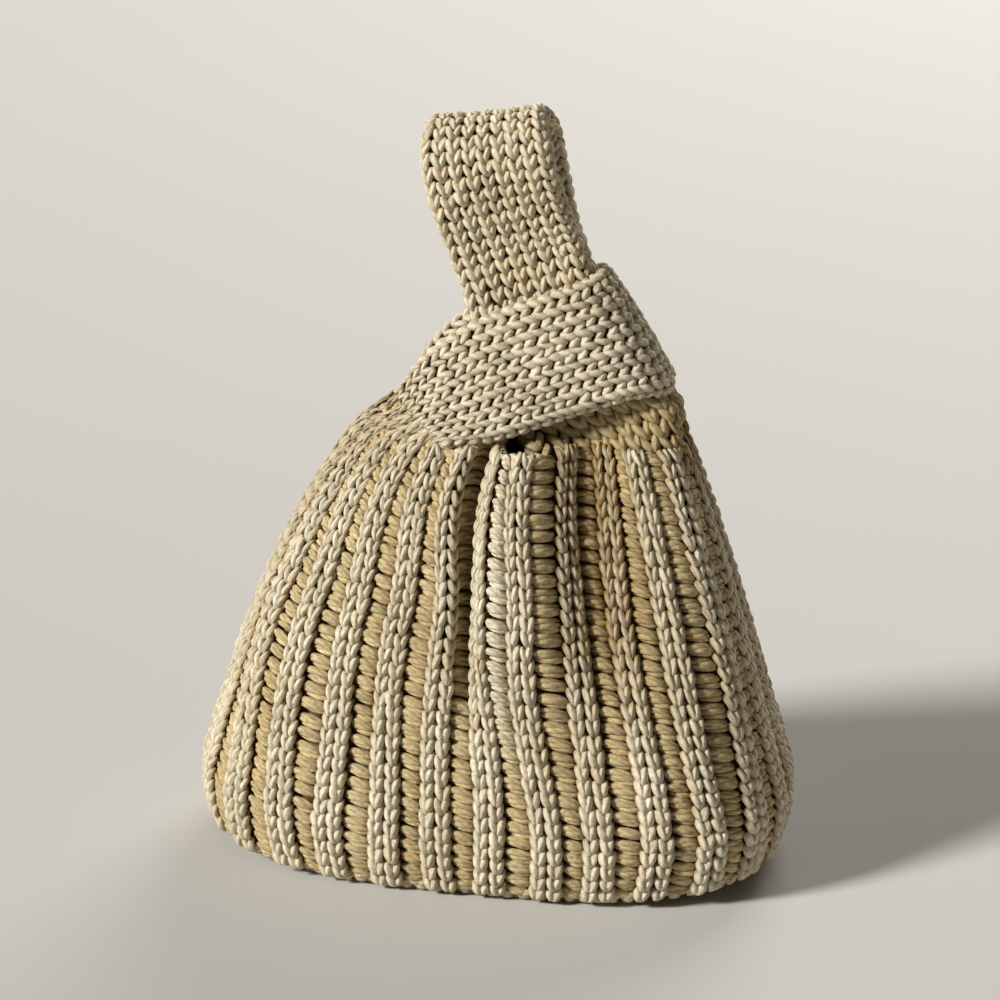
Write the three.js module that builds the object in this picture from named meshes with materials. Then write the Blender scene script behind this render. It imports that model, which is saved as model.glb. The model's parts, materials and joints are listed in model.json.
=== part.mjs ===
// A knitted knot bag, tied shut: an oval ribbed body with a short handle on its left shoulder and a
// long handle on its right one. The long handle runs up through the loop of the short one, which
// draws the mouth together, and its folded top is the wrist loop.
// Millimetres, +Z up, front towards -Y. The origin is on the floor below the middle of the base.

import * as THREE from 'three';

// Body
const bellyWidth = 243; // widest girth, side to side
const bellyDepth = 124; // the same girth, front to back
const bellyHeight = 30; // height of that girth above the floor
const footInset = 12; // how far the wall draws in from the belly to the floor
const bodyHeight = 172; // top of the ribbed panels, below the hem
const mouthWidth = 146; // gathered mouth at the top of the panels, side to side
const mouthDepth = 68; // gathered mouth, front to back
const mouthShift = 9; // the mouth is drawn this far to the right by the knot
const ovalPower = 2.4; // 2 is an ellipse, more is boxier
const wall = 8; // knitted wall over the ribs
const ribsPerPanel = 14;
const ribDepth = 2.5; // a rib stands this far proud of the groove beside it
const baseThickness = 6;
const welt = 8; // seam ring round the base, width and height
const weltRound = 2; // rounding of its corners
const weltLift = 0.6; // the ring clears the floor by this much
const sideSeam = 6; // joining cord down each side
const hem = 8; // rolled hem of the mouth

// Handles
const strapThickness = 7; // one layer of either handle
const longWidth = 57; // long handle, edge to edge
const shortWidth = 58; // short handle at its fold
const shortRootHeight = 42; // short handle where its loop leaves its legs
const shortRootWidth = 36; // stretch of hem that each short leg is knitted onto
const longRootWidth = 34; // stretch of hem that each long leg is knitted onto
const rootInset = 3; // the legs start this far in from the ends of the mouth
const knotX = 22; // middle of the knot, right of the middle of the base
const knotRise = 32; // middle of the knot above the hem
const knotTilt = THREE.MathUtils.degToRad(19); // the short handle rises to the right by this angle
const loopReach = 35.5; // inside of the short handle's fold, right of the middle of the knot
const loopRoot = 42; // left end of the short handle's loop, left of the middle of the knot
const loopSlack = 3.4; // room between the short handle's loop and the long handle
const neckDrop = 15; // lower end of the sliding stretch, below the middle of the knot
const longGather = 29; // width of the long handle at that end, where it is gathered
const gatherRise = 32; // the long handle opens to its full width over this height
const foldRise = 20; // the long handle folds this far above the short handle's edge
const gripLength = 60; // from that fold line to the top of the wrist loop
const gripGap = 16; // widest gap between the wrist loop's layers
const gripCrown = 20; // height of the rounded top of the wrist loop
const gripTurn = THREE.MathUtils.degToRad(11); // the wrist loop bends to the right by this angle

const gap = 0.3; // pieces that touch
const layerGap = 0.4; // between the two layers of the long handle
const ringPoints = 72; // points round the base and its welt
const panelRows = 10; // rows of points up a panel

const yarn = { roughness: 0.9, metalness: 0 };
const ribYarn = new THREE.MeshStandardMaterial({ color: 0xd8c9a6, ...yarn });
const strapYarn = new THREE.MeshStandardMaterial({ color: 0xd2c3a0, ...yarn });
const seamYarn = new THREE.MeshStandardMaterial({ color: 0xc6b48c, ...yarn });

const bag = new THREE.Group();
const knot = new THREE.Group(); // X along the short handle, Z along the long one
knot.position.set(knotX, 0, bodyHeight + gap + hem + knotRise);
knot.rotation.y = -knotTilt;
knot.updateMatrix();
bag.add(knot);

function addPiece(parent, name, geometry, material) {
  const mesh = new THREE.Mesh(geometry, material);
  mesh.name = name;
  parent.add(mesh);
}

// The body's girth: half sizes at a height, and points on the oval of that size.
function climb(z) {
  return (z - bellyHeight) / (bodyHeight - bellyHeight);
}

function halfSize(z, belly, mouth) {
  if (z < bellyHeight) {
    const low = 1 - z / bellyHeight;
    return belly / 2 - footInset * (1 - Math.sqrt(1 - low * low));
  }
  const t = climb(z);
  return mouth / 2 + ((belly - mouth) / 2) * (1 - 0.75 * t ** 1.5 - 0.25 * t ** 4);
}

function shiftAt(z) {
  return mouthShift * Math.max(0, climb(z)) ** 2;
}

function ovalDepth(x, halfWidth, halfDepth) {
  return halfDepth * (1 - Math.abs(x / halfWidth) ** ovalPower) ** (1 / ovalPower);
}

// The half of an oval on one side of the X axis, from left to right. It stops a little short of the axis.
class HalfOval extends THREE.Curve {
  constructor(halfWidth, halfDepth, side, clear, shift, z) {
    super();
    Object.assign(this, { halfWidth, halfDepth, side, clear, shift, z });
    this.first = Math.asin((clear / halfDepth) ** (ovalPower / 2));
  }

  getPoint(u, target = new THREE.Vector3()) {
    const angle = THREE.MathUtils.lerp(this.first, Math.PI - this.first, u);
    const across = -Math.sign(Math.cos(angle)) * Math.abs(Math.cos(angle)) ** (2 / ovalPower);
    const out = Math.sin(angle) ** (2 / ovalPower);
    return target.set(this.shift + this.halfWidth * across, this.side * this.halfDepth * out, this.z);
  }
}

function ovalShape(halfWidth, halfDepth) {
  const front = new HalfOval(halfWidth, halfDepth, -1, 0, 0, 0).getSpacedPoints(ringPoints / 2);
  const back = new HalfOval(halfWidth, halfDepth, 1, 0, 0, 0).getSpacedPoints(ringPoints / 2).reverse();
  const points = [...front.slice(0, -1), ...back.slice(0, -1)];
  return new THREE.Shape(points.map((p) => new THREE.Vector2(p.x, p.y)));
}

// A closed solid between two grids of points of the same size.
function slab(outer, inner) {
  const rows = outer.length;
  const columns = outer[0].length;
  const last = columns - 1;
  const points = [...outer.flat(), ...inner.flat()];
  const faces = [];
  const quad = (a, b, c, d) => faces.push(a, b, c, a, c, d);
  const outside = (r, c) => r * columns + c;
  const inside = (r, c) => rows * columns + r * columns + c;
  for (let r = 0; r + 1 < rows; r++) {
    for (let c = 0; c + 1 < columns; c++) {
      quad(outside(r, c), outside(r, c + 1), outside(r + 1, c + 1), outside(r + 1, c));
      quad(inside(r, c), inside(r + 1, c), inside(r + 1, c + 1), inside(r, c + 1));
    }
    quad(outside(r, 0), outside(r + 1, 0), inside(r + 1, 0), inside(r, 0));
    quad(inside(r, last), inside(r + 1, last), outside(r + 1, last), outside(r, last));
  }
  for (let c = 0; c + 1 < columns; c++) {
    quad(outside(0, c), inside(0, c), inside(0, c + 1), outside(0, c + 1));
    quad(outside(rows - 1, c), outside(rows - 1, c + 1), inside(rows - 1, c + 1), inside(rows - 1, c));
  }
  const volume = faces.reduce((sum, _, i) => {
    if (i % 3) return sum;
    const [a, b, c] = faces.slice(i, i + 3).map((k) => points[k]);
    return sum + a.dot(b.clone().cross(c));
  }, 0);
  if (volume < 0) faces.reverse();
  const geometry = new THREE.BufferGeometry().setFromPoints(points);
  geometry.setIndex(faces);
  geometry.computeVertexNormals();
  return geometry;
}

function cordAlong(path, diameter, steps) {
  const section = new THREE.Shape().absarc(0, 0, diameter / 2, 0, 2 * Math.PI);
  return new THREE.ExtrudeGeometry(section, { extrudePath: path, steps, curveSegments: 4 });
}

// Base: an oval plate inside a seam ring.
const weltMiddle = weltLift + welt / 2;
const weltHalfWidth = halfSize(weltMiddle, bellyWidth, mouthWidth);
const weltHalfDepth = halfSize(weltMiddle, bellyDepth, mouthDepth);

function basePanel() {
  const shape = ovalShape(weltHalfWidth - welt - gap, weltHalfDepth - welt - gap);
  return new THREE.ExtrudeGeometry(shape, { depth: baseThickness, bevelEnabled: false });
}

function baseWelt() {
  const ring = ovalShape(weltHalfWidth, weltHalfDepth);
  ring.holes.push(ovalShape(weltHalfWidth - welt, weltHalfDepth - welt));
  const geometry = new THREE.ExtrudeGeometry(ring, {
    depth: welt - 2 * weltRound,
    bevelSize: weltRound,
    bevelThickness: weltRound,
    bevelOffset: -weltRound,
    bevelSegments: 2,
  });
  return geometry.translate(0, 0, weltLift + weltRound);
}

addPiece(bag, 'base_panel', basePanel(), ribYarn);
addPiece(bag, 'base_seam', baseWelt(), seamYarn);

// Panels: half shells whose outer face goes crest, crest, groove for each rib.
const panelFoot = weltLift + welt + gap;
const seamClear = sideSeam / 2 + gap;

function panelRow(z, side, inset) {
  const halfWidth = halfSize(z, bellyWidth, mouthWidth) - inset;
  const halfDepth = halfSize(z, bellyDepth, mouthDepth) - inset;
  return new HalfOval(halfWidth, halfDepth, side, seamClear, shiftAt(z), z).getSpacedPoints(3 * ribsPerPanel);
}

function panel(side) {
  const outer = [];
  const inner = [];
  for (let r = 0; r < panelRows; r++) {
    const z = THREE.MathUtils.lerp(panelFoot, bodyHeight, (r / (panelRows - 1)) ** 1.2);
    const crest = panelRow(z, side, 0);
    const groove = panelRow(z, side, ribDepth);
    outer.push(crest.map((p, k) => (k % 3 === 2 ? groove[k] : p)));
    inner.push(panelRow(z, side, wall));
  }
  return slab(outer, inner);
}

addPiece(bag, 'front_panel', panel(-1), ribYarn);
addPiece(bag, 'back_panel', panel(1), ribYarn);

// Side seams: a cord in the gap between the panels.
function seamCord(end) {
  const top = bodyHeight - sideSeam / 2;
  const bottom = panelFoot + gap;
  const points = Array.from({ length: panelRows }, (_, r) => {
    const z = THREE.MathUtils.lerp(bottom, top, r / (panelRows - 1));
    return new THREE.Vector3(shiftAt(z) + end * (halfSize(z, bellyWidth, mouthWidth) - wall / 2), 0, z);
  });
  return cordAlong(new THREE.CatmullRomCurve3(points), sideSeam, 2 * panelRows);
}

addPiece(bag, 'left_side_seam', seamCord(-1), seamYarn);
addPiece(bag, 'right_side_seam', seamCord(1), seamYarn);

// Hem: a rolled edge on top of each panel. The handles are knitted onto it.
const hemHalfWidth = mouthWidth / 2 - wall / 2;
const hemHalfDepth = mouthDepth / 2 - wall / 2;
const hemTop = bodyHeight + gap + hem;

function hemHalf(side) {
  const path = new HalfOval(hemHalfWidth, hemHalfDepth, side, gap / 2, mouthShift, hemTop - hem / 2);
  return cordAlong(path, hem, 36);
}

addPiece(bag, 'front_hem', hemHalf(-1), ribYarn);
addPiece(bag, 'back_hem', hemHalf(1), ribYarn);

// Legs: each handle leaves the hem in a front leg and a back leg that lean in to the knot.
const neckHalf = layerGap / 2 + strapThickness; // the long handle's two layers, either side of its middle
const loopInside = neckHalf + loopSlack;
const legColumns = 8;
const legRows = 8;

// How a leg hangs: the angle that its inner end leans over, the power that it rises with and the power
// that its outer end sways with. A power of 1 is a straight line and a higher one starts flatter.
const shortHang = { lean: THREE.MathUtils.degToRad(60), rise: 1, outerSway: 1 };
const longHang = { lean: 0, rise: 2, outerSway: 1.25 };

function knotPoint(along, out, up) {
  return new THREE.Vector3(along, out, up).applyMatrix4(knot.matrix);
}

function leg(side, outerEnd, innerEnd, hang, topPoint) {
  const faces = [[], []];
  for (let r = 0; r <= legRows; r++) {
    const climbed = r / legRows;
    const drawnIn = Math.sin((climbed * Math.PI) / 2) ** 0.65;
    const rows = [[], []];
    for (let c = 0; c <= legColumns; c++) {
      const across = c / legColumns;
      const x = THREE.MathUtils.lerp(outerEnd, innerEnd, across);
      const y = side * ovalDepth(x, hemHalfWidth, hemHalfDepth);
      const outward = new THREE.Vector3(x / hemHalfWidth ** 2, y / hemHalfDepth ** 2, 0).normalize();
      outward.multiplyScalar(Math.cos(hang.lean * across)).setZ(Math.sin(hang.lean * across));
      const lift = (strapThickness / 2) * outward.z; // keeps the leaning foot on top of the hem
      const foot = new THREE.Vector3(mouthShift + x, y, hemTop + gap + lift);
      const head = topPoint(across);
      const middle = new THREE.Vector3(
        THREE.MathUtils.lerp(foot.x, head.x, climbed ** THREE.MathUtils.lerp(hang.outerSway, 1, across)),
        THREE.MathUtils.lerp(foot.y, head.y, drawnIn),
        THREE.MathUtils.lerp(foot.z, head.z, climbed ** hang.rise),
      );
      outward.lerp(new THREE.Vector3(0, side, 0), climbed).setLength(strapThickness / 2);
      rows[0].push(middle.clone().add(outward));
      rows[1].push(middle.clone().sub(outward));
    }
    faces[0].push(rows[0]);
    faces[1].push(rows[1]);
  }
  return slab(faces[0], faces[1]);
}

function shortLeg(side) {
  const out = side * (loopInside + strapThickness / 2);
  const up = (across) => shortRootHeight * (0.5 - across);
  const end = rootInset - hemHalfWidth;
  const head = (across) => knotPoint(-loopRoot - gap, out, up(across));
  return leg(side, end, end + shortRootWidth, shortHang, head);
}

function longLeg(side) {
  const out = side * (layerGap + strapThickness) / 2;
  const end = hemHalfWidth - rootInset;
  const along = (across) => longWidth / 2 - longGather * across;
  const head = (across) => knotPoint(along(across), out, -neckDrop - gap);
  return leg(side, end, end - longRootWidth, longHang, head);
}

addPiece(bag, 'short_handle_front_leg', shortLeg(-1), strapYarn);
addPiece(bag, 'short_handle_back_leg', shortLeg(1), strapYarn);
addPiece(bag, 'long_handle_front_leg', longLeg(-1), strapYarn);
addPiece(bag, 'long_handle_back_leg', longLeg(1), strapYarn);

// Short handle: a strap folded back on itself, that tapers from its fold to its legs.
function shortLoop() {
  const outside = loopInside + strapThickness;
  const turn = loopReach - loopInside; // middle of the fold
  const shape = new THREE.Shape();
  shape.moveTo(-loopRoot, -outside).lineTo(turn, -outside);
  shape.absarc(turn, 0, outside, -Math.PI / 2, Math.PI / 2);
  shape.lineTo(-loopRoot, outside).lineTo(-loopRoot, loopInside).lineTo(turn, loopInside);
  shape.absarc(turn, 0, loopInside, Math.PI / 2, -Math.PI / 2, true);
  shape.lineTo(-loopRoot, -loopInside);
  const geometry = new THREE.ExtrudeGeometry(shape, { depth: 1, bevelEnabled: false, curveSegments: 16 });
  const at = geometry.getAttribute('position');
  for (let i = 0; i < at.count; i++) {
    const share = THREE.MathUtils.clamp((at.getX(i) + loopRoot) / (loopRoot + turn), 0, 1);
    const height = THREE.MathUtils.lerp(shortRootHeight, shortWidth, share);
    at.setZ(i, height * (at.getZ(i) - 0.5));
  }
  return geometry;
}

addPiece(knot, 'short_handle_loop', shortLoop(), strapYarn);

// Long handle: two flat layers where it slides through the knot, then the wrist loop.
const foldLine = shortWidth / 2 + foldRise;
const neckTop = foldLine - neckHalf - gap;

function neckLayer(side) {
  const half = longWidth / 2;
  const shape = new THREE.Shape();
  shape.moveTo(half - longGather, -neckDrop).lineTo(half, -neckDrop).lineTo(half, neckTop);
  shape.lineTo(-half, neckTop).lineTo(-half, gatherRise - neckDrop);
  const geometry = new THREE.ExtrudeGeometry(shape, { depth: strapThickness, bevelEnabled: false });
  const middle = (side * (layerGap + strapThickness)) / 2;
  return geometry.rotateX(Math.PI / 2).translate(0, middle + strapThickness / 2, 0);
}

function wristLoop() {
  const top = foldLine + gripLength;
  const bend = gripLength / gripTurn; // radius of the sideways bend
  const shoulder = top - gripCrown;
  const hole = gripGap / 2;
  const outside = hole + strapThickness;
  const holeFoot = foldLine + strapThickness;
  const flare = (shoulder - foldLine) / 2;
  const shape = new THREE.Shape();
  shape.moveTo(-neckHalf, foldLine).absarc(0, foldLine, neckHalf, Math.PI, 2 * Math.PI);
  shape.bezierCurveTo(neckHalf, foldLine + flare, outside, shoulder - flare, outside, shoulder);
  shape.absellipse(0, shoulder, outside, gripCrown, 0, Math.PI);
  shape.bezierCurveTo(-outside, shoulder - flare, -neckHalf, foldLine + flare, -neckHalf, foldLine);
  const opening = new THREE.Path();
  opening.moveTo(0, holeFoot).bezierCurveTo(0, holeFoot + flare, hole, shoulder - flare, hole, shoulder);
  opening.absellipse(0, shoulder, hole, gripCrown - strapThickness, 0, Math.PI);
  opening.bezierCurveTo(-hole, shoulder - flare, 0, holeFoot + flare, 0, holeFoot);
  shape.holes.push(opening);
  const options = { depth: longWidth, bevelEnabled: false, curveSegments: 10 };
  const geometry = new THREE.ExtrudeGeometry(shape, options);
  geometry.translate(0, 0, -longWidth / 2).rotateX(Math.PI / 2).rotateZ(Math.PI / 2);
  const at = geometry.getAttribute('position');
  for (let i = 0; i < at.count; i++) {
    const turned = Math.max(0, at.getZ(i) - foldLine) / bend;
    if (turned === 0) continue;
    const reach = bend - at.getX(i);
    at.setX(i, bend - reach * Math.cos(turned));
    at.setZ(i, foldLine + reach * Math.sin(turned));
  }
  return geometry;
}

addPiece(knot, 'long_handle_front_neck', neckLayer(-1), strapYarn);
addPiece(knot, 'long_handle_back_neck', neckLayer(1), strapYarn);
addPiece(knot, 'long_handle_wrist_loop', wristLoop(), strapYarn);

export default bag;
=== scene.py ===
import json
import math

import bpy
import numpy as np
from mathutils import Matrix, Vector


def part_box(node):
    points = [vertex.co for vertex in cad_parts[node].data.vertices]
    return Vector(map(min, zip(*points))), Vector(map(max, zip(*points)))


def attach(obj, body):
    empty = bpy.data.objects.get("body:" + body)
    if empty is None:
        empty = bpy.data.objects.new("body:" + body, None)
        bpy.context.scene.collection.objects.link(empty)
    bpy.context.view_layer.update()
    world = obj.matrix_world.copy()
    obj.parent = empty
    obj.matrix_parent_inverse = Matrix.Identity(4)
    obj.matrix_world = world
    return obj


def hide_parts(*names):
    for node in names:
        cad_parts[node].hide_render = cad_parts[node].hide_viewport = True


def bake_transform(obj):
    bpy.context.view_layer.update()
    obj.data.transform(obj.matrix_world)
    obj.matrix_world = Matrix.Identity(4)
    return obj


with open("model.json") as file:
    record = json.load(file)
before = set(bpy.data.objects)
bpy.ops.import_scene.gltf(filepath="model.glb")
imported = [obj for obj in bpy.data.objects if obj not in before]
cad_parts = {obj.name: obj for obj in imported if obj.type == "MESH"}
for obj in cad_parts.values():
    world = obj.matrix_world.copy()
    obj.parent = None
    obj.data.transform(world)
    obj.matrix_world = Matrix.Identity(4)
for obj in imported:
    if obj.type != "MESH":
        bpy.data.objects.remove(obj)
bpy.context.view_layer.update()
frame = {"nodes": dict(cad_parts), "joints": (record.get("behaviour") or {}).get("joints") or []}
joints = {joint["name"]: joint for joint in frame["joints"]}
mm = 1000.0
rng = np.random.default_rng(7)
print("frame loaded:", len(frame["nodes"]), "solids")

cameraView = dict(azimuth=12.0, elevation=21.2, lens=160.0, sensor=36.0, distance=1.823,
                  aim=(0.0008, 0.0, 0.1526))


def aimed(name, data, at, toward):
    # a camera or a lamp at a place, turned to look along a direction
    holder = bpy.data.objects.new(name, data)
    holder.location = at
    holder.rotation_mode = "QUATERNION"
    holder.rotation_quaternion = toward.to_track_quat("-Z", "Y")
    bpy.context.scene.collection.objects.link(holder)
    return holder


def addCamera(view):
    # stands off from the aim, turned round the bag and lifted above it
    turn, lift = math.radians(view["azimuth"]), math.radians(view["elevation"])
    back = Vector((math.sin(turn) * math.cos(lift), -math.cos(turn) * math.cos(lift), math.sin(lift)))
    data = bpy.data.cameras.new("photoCamera")
    data.lens, data.sensor_width = view["lens"], view["sensor"]
    at = Vector(view["aim"]) + back * view["distance"]
    bpy.context.scene.camera = aimed("photoCamera", data, at, -back)


addCamera(cameraView)


# small helpers on whole arrays, lengths in millimetres

def unit(a):
    return a / np.maximum(np.linalg.norm(a, axis=-1, keepdims=True), 1e-9)


def smooth(t):
    # three t squared less two t cubed, held between 0 and 1
    t = np.clip(t, 0.0, 1.0)
    return t * t * (3.0 - 2.0 * t)


def ramp(a, low, high):
    # 0 up to low, 1 from high on, smooth between
    return smooth((a - low) / (high - low))


def mix(a, b, t):
    a, b = np.asarray(a), np.asarray(b)
    return a + (b - a) * t


def point(x, y, z):
    return np.stack(np.broadcast_arrays(x, y, z), axis=-1).astype(float)


def readAt(s, places, table):
    # a table of points read between its places
    return np.stack([np.interp(s, places, table[:, i]) for i in range(3)], -1)


def runAlong(line):
    # how far along a line each of its points lies
    return np.pad(np.cumsum(np.linalg.norm(np.diff(line, axis=0), axis=1)), (1, 0))


def cubic(start, leave, end, arrive, t):
    # the cubic from start to end that leaves and arrives with the given slopes
    return ((2 * t**3 - 3 * t**2 + 1) * start + (t**3 - 2 * t**2 + t) * leave
            + (3 * t**2 - 2 * t**3) * end + (t**3 - t**2) * arrive)


def throughPoints(stations, count, knots=None):
    # a curve through the stations, a cubic to each span, its slopes taken from the neighbours
    stations = np.asarray(stations, float)
    knots = runAlong(stations) if knots is None else knots
    slope = np.gradient(stations, knots, axis=0)
    s = np.linspace(0, knots[-1], count)
    i = np.clip(np.searchsorted(knots, s, side="right") - 1, 0, len(knots) - 2)
    step = (knots[i + 1] - knots[i])[:, None]
    t = (s - knots[i])[:, None] / step
    return cubic(stations[i], step * slope[i], stations[i + 1], step * slope[i + 1], t)


def slopes(surface, a, b, da, db):
    # the way a surface runs along each of its two parameters
    return surface(a + da, b) - surface(a - da, b), surface(a, b + db) - surface(a, b - db)


# materials: arithmetic on a wrapped socket adds its Math nodes

def feed(node, values):
    # a wrapped socket is linked, a plain value is set
    for key, value in values.items():
        if isinstance(value, Shade):
            value.tree.links.new(value.out, node.inputs[key])
        else:
            node.inputs[key].default_value = value


class Shade:
    def __init__(self, tree, out=None):
        self.tree = tree
        self.out = out

    def node(self, kind, settings=None, inputs=None, output=0):
        made = self.tree.nodes.new(kind)
        for key, value in (settings or {}).items():
            if key == "stops":
                for element, (place, colour) in zip(made.color_ramp.elements, value):
                    element.position, element.color = place, colour
            else:
                setattr(made, key, value)
        feed(made, inputs or {})
        return Shade(self.tree, made.outputs[output])

    def math(self, operation, a, b=0.0):
        return self.node("ShaderNodeMath", {"operation": operation}, {0: a, 1: b})


# a + b, and b + a where b is a plain number, and so on
for sign, operation in (("add", "ADD"), ("sub", "SUBTRACT"), ("mul", "MULTIPLY"), ("pow", "POWER")):
    setattr(Shade, f"__{sign}__", lambda a, b, kind=operation: a.math(kind, a, b))
    setattr(Shade, f"__r{sign}__", lambda a, b, kind=operation: a.math(kind, b, a))


def mixColour(shade, blend, share, a, b):
    return shade.node("ShaderNodeMix", {"data_type": "RGBA", "blend_type": blend}, {0: share, 6: a, 7: b}, 2)


def newMaterial(name):
    material = bpy.data.materials.new(name)
    material.use_nodes = True
    shade = Shade(material.node_tree)
    place = shade.node("ShaderNodeTexCoord", output=3)      # Object coordinates
    return material, shade, place, material.node_tree.nodes["Principled BSDF"]


yarnLook = dict(
    cream=(0.725, 0.680, 0.575, 1.0),     # lit face of the yarn
    groove=(0.480, 0.385, 0.225, 1.0),    # painted shade in the line between two twisted plies
    plies=3, twist=0.55,               # strands round the yarn, turns along one stitch
    grooveShare=0.42, grooveSharp=3.0, plyHeight=0.00013,
    fibreScale=620.0, fibreDetail=3.0, fibreHeight=0.00020,
    specks=[(0.32, (0.80, 0.765, 0.68, 1.0)), (0.66, (1.07, 1.07, 1.07, 1.0))],
    patchScale=26.0, patchDetail=4.0,
    patches=[(0.3, (0.86, 0.815, 0.705, 1.0)), (0.7, (1.06, 1.05, 1.02, 1.0))],
    roughness=0.92, roughSpread=0.16, sheen=0.12, sheenRoughness=0.45, specular=0.12,
)


def yarnMaterial(name, **changes):
    # a sine of the turn round a strand plus the way along it gives the ridges and grooves of its plies
    look = {**yarnLook, **changes}
    material, shade, place, bsdf = newMaterial(name)
    uv = shade.node("ShaderNodeUVMap", {"uv_map": "yarn"})
    way = shade.node("ShaderNodeSeparateXYZ", inputs={0: uv})
    around = Shade(shade.tree, way.out.node.outputs[1])
    ply = shade.math("SINE", (around * look["plies"] + way * look["twist"]) * (2 * math.pi))
    groove = (0.5 - ply * 0.5) ** look["grooveSharp"]
    fibre, patch = [shade.node("ShaderNodeTexNoise", inputs={
        "Vector": place, "Scale": look[kind + "Scale"], "Detail": look[kind + "Detail"]})
        for kind in ("fibre", "patch")]
    # painted shade: the grooves between the plies are darkened toward the groove colour
    colour = mixColour(shade, "MIX", groove * look["grooveShare"], look["cream"], look["groove"])
    layers = (shade.node("ShaderNodeAttribute", {"attribute_name": "tone"}),
              shade.node("ShaderNodeValToRGB", {"stops": look["patches"]}, {0: patch}),
              shade.node("ShaderNodeValToRGB", {"stops": look["specks"]}, {0: fibre}))
    for layer in layers:
        colour = mixColour(shade, "MULTIPLY", 1.0, colour, layer)
    height = ply * look["plyHeight"] + fibre * look["fibreHeight"]
    feed(bsdf, {
        "Base Color": colour,
        "Roughness": fibre * look["roughSpread"] + (look["roughness"] - look["roughSpread"] / 2),
        "Normal": shade.node("ShaderNodeBump", inputs={"Strength": 1.0, "Distance": 1.0, "Height": height}),
        "Sheen Weight": look["sheen"], "Sheen Roughness": look["sheenRoughness"],
        "Specular IOR Level": look["specular"],
    })
    return material


# painted shade: the wrong side and the handle cores are coloured dark brown, standing for the shade between the
# stitches
wrongSideShadeLook = dict(light=(0.230, 0.158, 0.068, 1.0), dark=(0.080, 0.050, 0.020, 1.0), stitch=170.0,
                depth=0.0015, roughness=0.95, specular=0.1)


def backMaterial(name, look):
    # the wrong side, dark brown as painted shade seen between the stitches: the distance from the middle of each
    # small cell gives its bump and its darker painted shade
    material, shade, place, bsdf = newMaterial(name)
    cells = shade.node("ShaderNodeTexVoronoi", inputs={"Vector": place, "Scale": look["stitch"]})
    bump = {"Strength": 1.0, "Distance": look["depth"], "Height": 1.0 - cells}
    feed(bsdf, {
        "Base Color": mixColour(shade, "MIX", cells, look["light"], look["dark"]),
        "Normal": shade.node("ShaderNodeBump", inputs=bump),
        "Roughness": look["roughness"], "Specular IOR Level": look["specular"],
    })
    return material


ribYarn = yarnMaterial("ribYarn")
barYarn = yarnMaterial("barYarn", twist=2.0, grooveShare=0.55)
strapYarn = yarnMaterial("strapYarn", twist=0.5)
seamYarn = yarnMaterial("seamYarn", twist=0.7)
wrongSidePaintedShade = backMaterial("wrongSidePaintedShade", wrongSideShadeLook)


# meshes

def addMesh(name, points, quads, material, uv=None, tone=None):
    mesh = bpy.data.meshes.new(name)
    mesh.from_pydata(points / mm, [], quads, shade_flat=False)
    if uv is not None:
        layer = mesh.uv_layers.new(name="yarn")
        layer.data.foreach_set("uv", uv.astype(np.float32).ravel())
    if tone is not None:
        attribute = mesh.attributes.new("tone", "FLOAT_COLOR", "POINT")
        attribute.data.foreach_set("color", tone.astype(np.float32).ravel())
    mesh.validate()
    mesh.materials.append(material)
    piece = bpy.data.objects.new(name, mesh)
    bpy.context.scene.collection.objects.link(piece)
    return piece


def gridQuads(rows, columns, closed):
    # faces of a grid of points, joined round its columns when closed
    r = np.arange(rows - 1)[:, None]
    c = np.arange(columns if closed else columns - 1)[None]
    n = (c + 1) % columns
    corners = (r * columns + c, r * columns + n, (r + 1) * columns + n, (r + 1) * columns + c)
    return np.stack(np.broadcast_arrays(*corners), -1).reshape(-1, 4)


def addShell(name, outer, inner, closed, material):
    # the outer and the inner face of a cloth, two grids joined along their free edges
    rows, columns = outer.shape[:2]
    count = rows * columns
    face = gridQuads(rows, columns, closed)
    index = np.arange(count).reshape(rows, columns)
    edges = [index[0, ::-1], index[-1]] if closed else [
        np.concatenate([index[0, ::-1], index[1:, 0], index[-1, 1:], index[-2:0:-1, -1]])]
    sides = []
    for edge in edges:
        following = np.roll(edge, -1)
        sides.append(np.stack([following, edge, edge + count, following + count], -1))
    quads = np.concatenate([face, face[:, ::-1] + count] + sides)
    return addMesh(name, np.stack([outer, inner]).reshape(-1, 3), quads, material)


def addTube(name, rings, material):
    # rings of points joined along a path, each end closed by strips across the ring
    rows, columns = rings.shape[:2]
    j = np.arange(columns // 2 - 1)
    start = np.stack([j, columns - 1 - j, columns - 2 - j, j + 1], -1)
    quads = np.concatenate([gridQuads(rows, columns, True), start, start[:, ::-1] + (rows - 1) * columns])
    return addMesh(name, rings.reshape(-1, 3), quads, material)


# painted shade: strand points lying low in the fabric are darkened toward the brown shade tone, fully at deep, not
# at all from high on
strandForm = dict(rings=7, sides=6, flat=0.9, paintedShadeTone=(0.38, 0.255, 0.085), deep=-2.5, high=2.0)
strandWay = np.linspace(0, 1, strandForm["rings"])[None]


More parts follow.
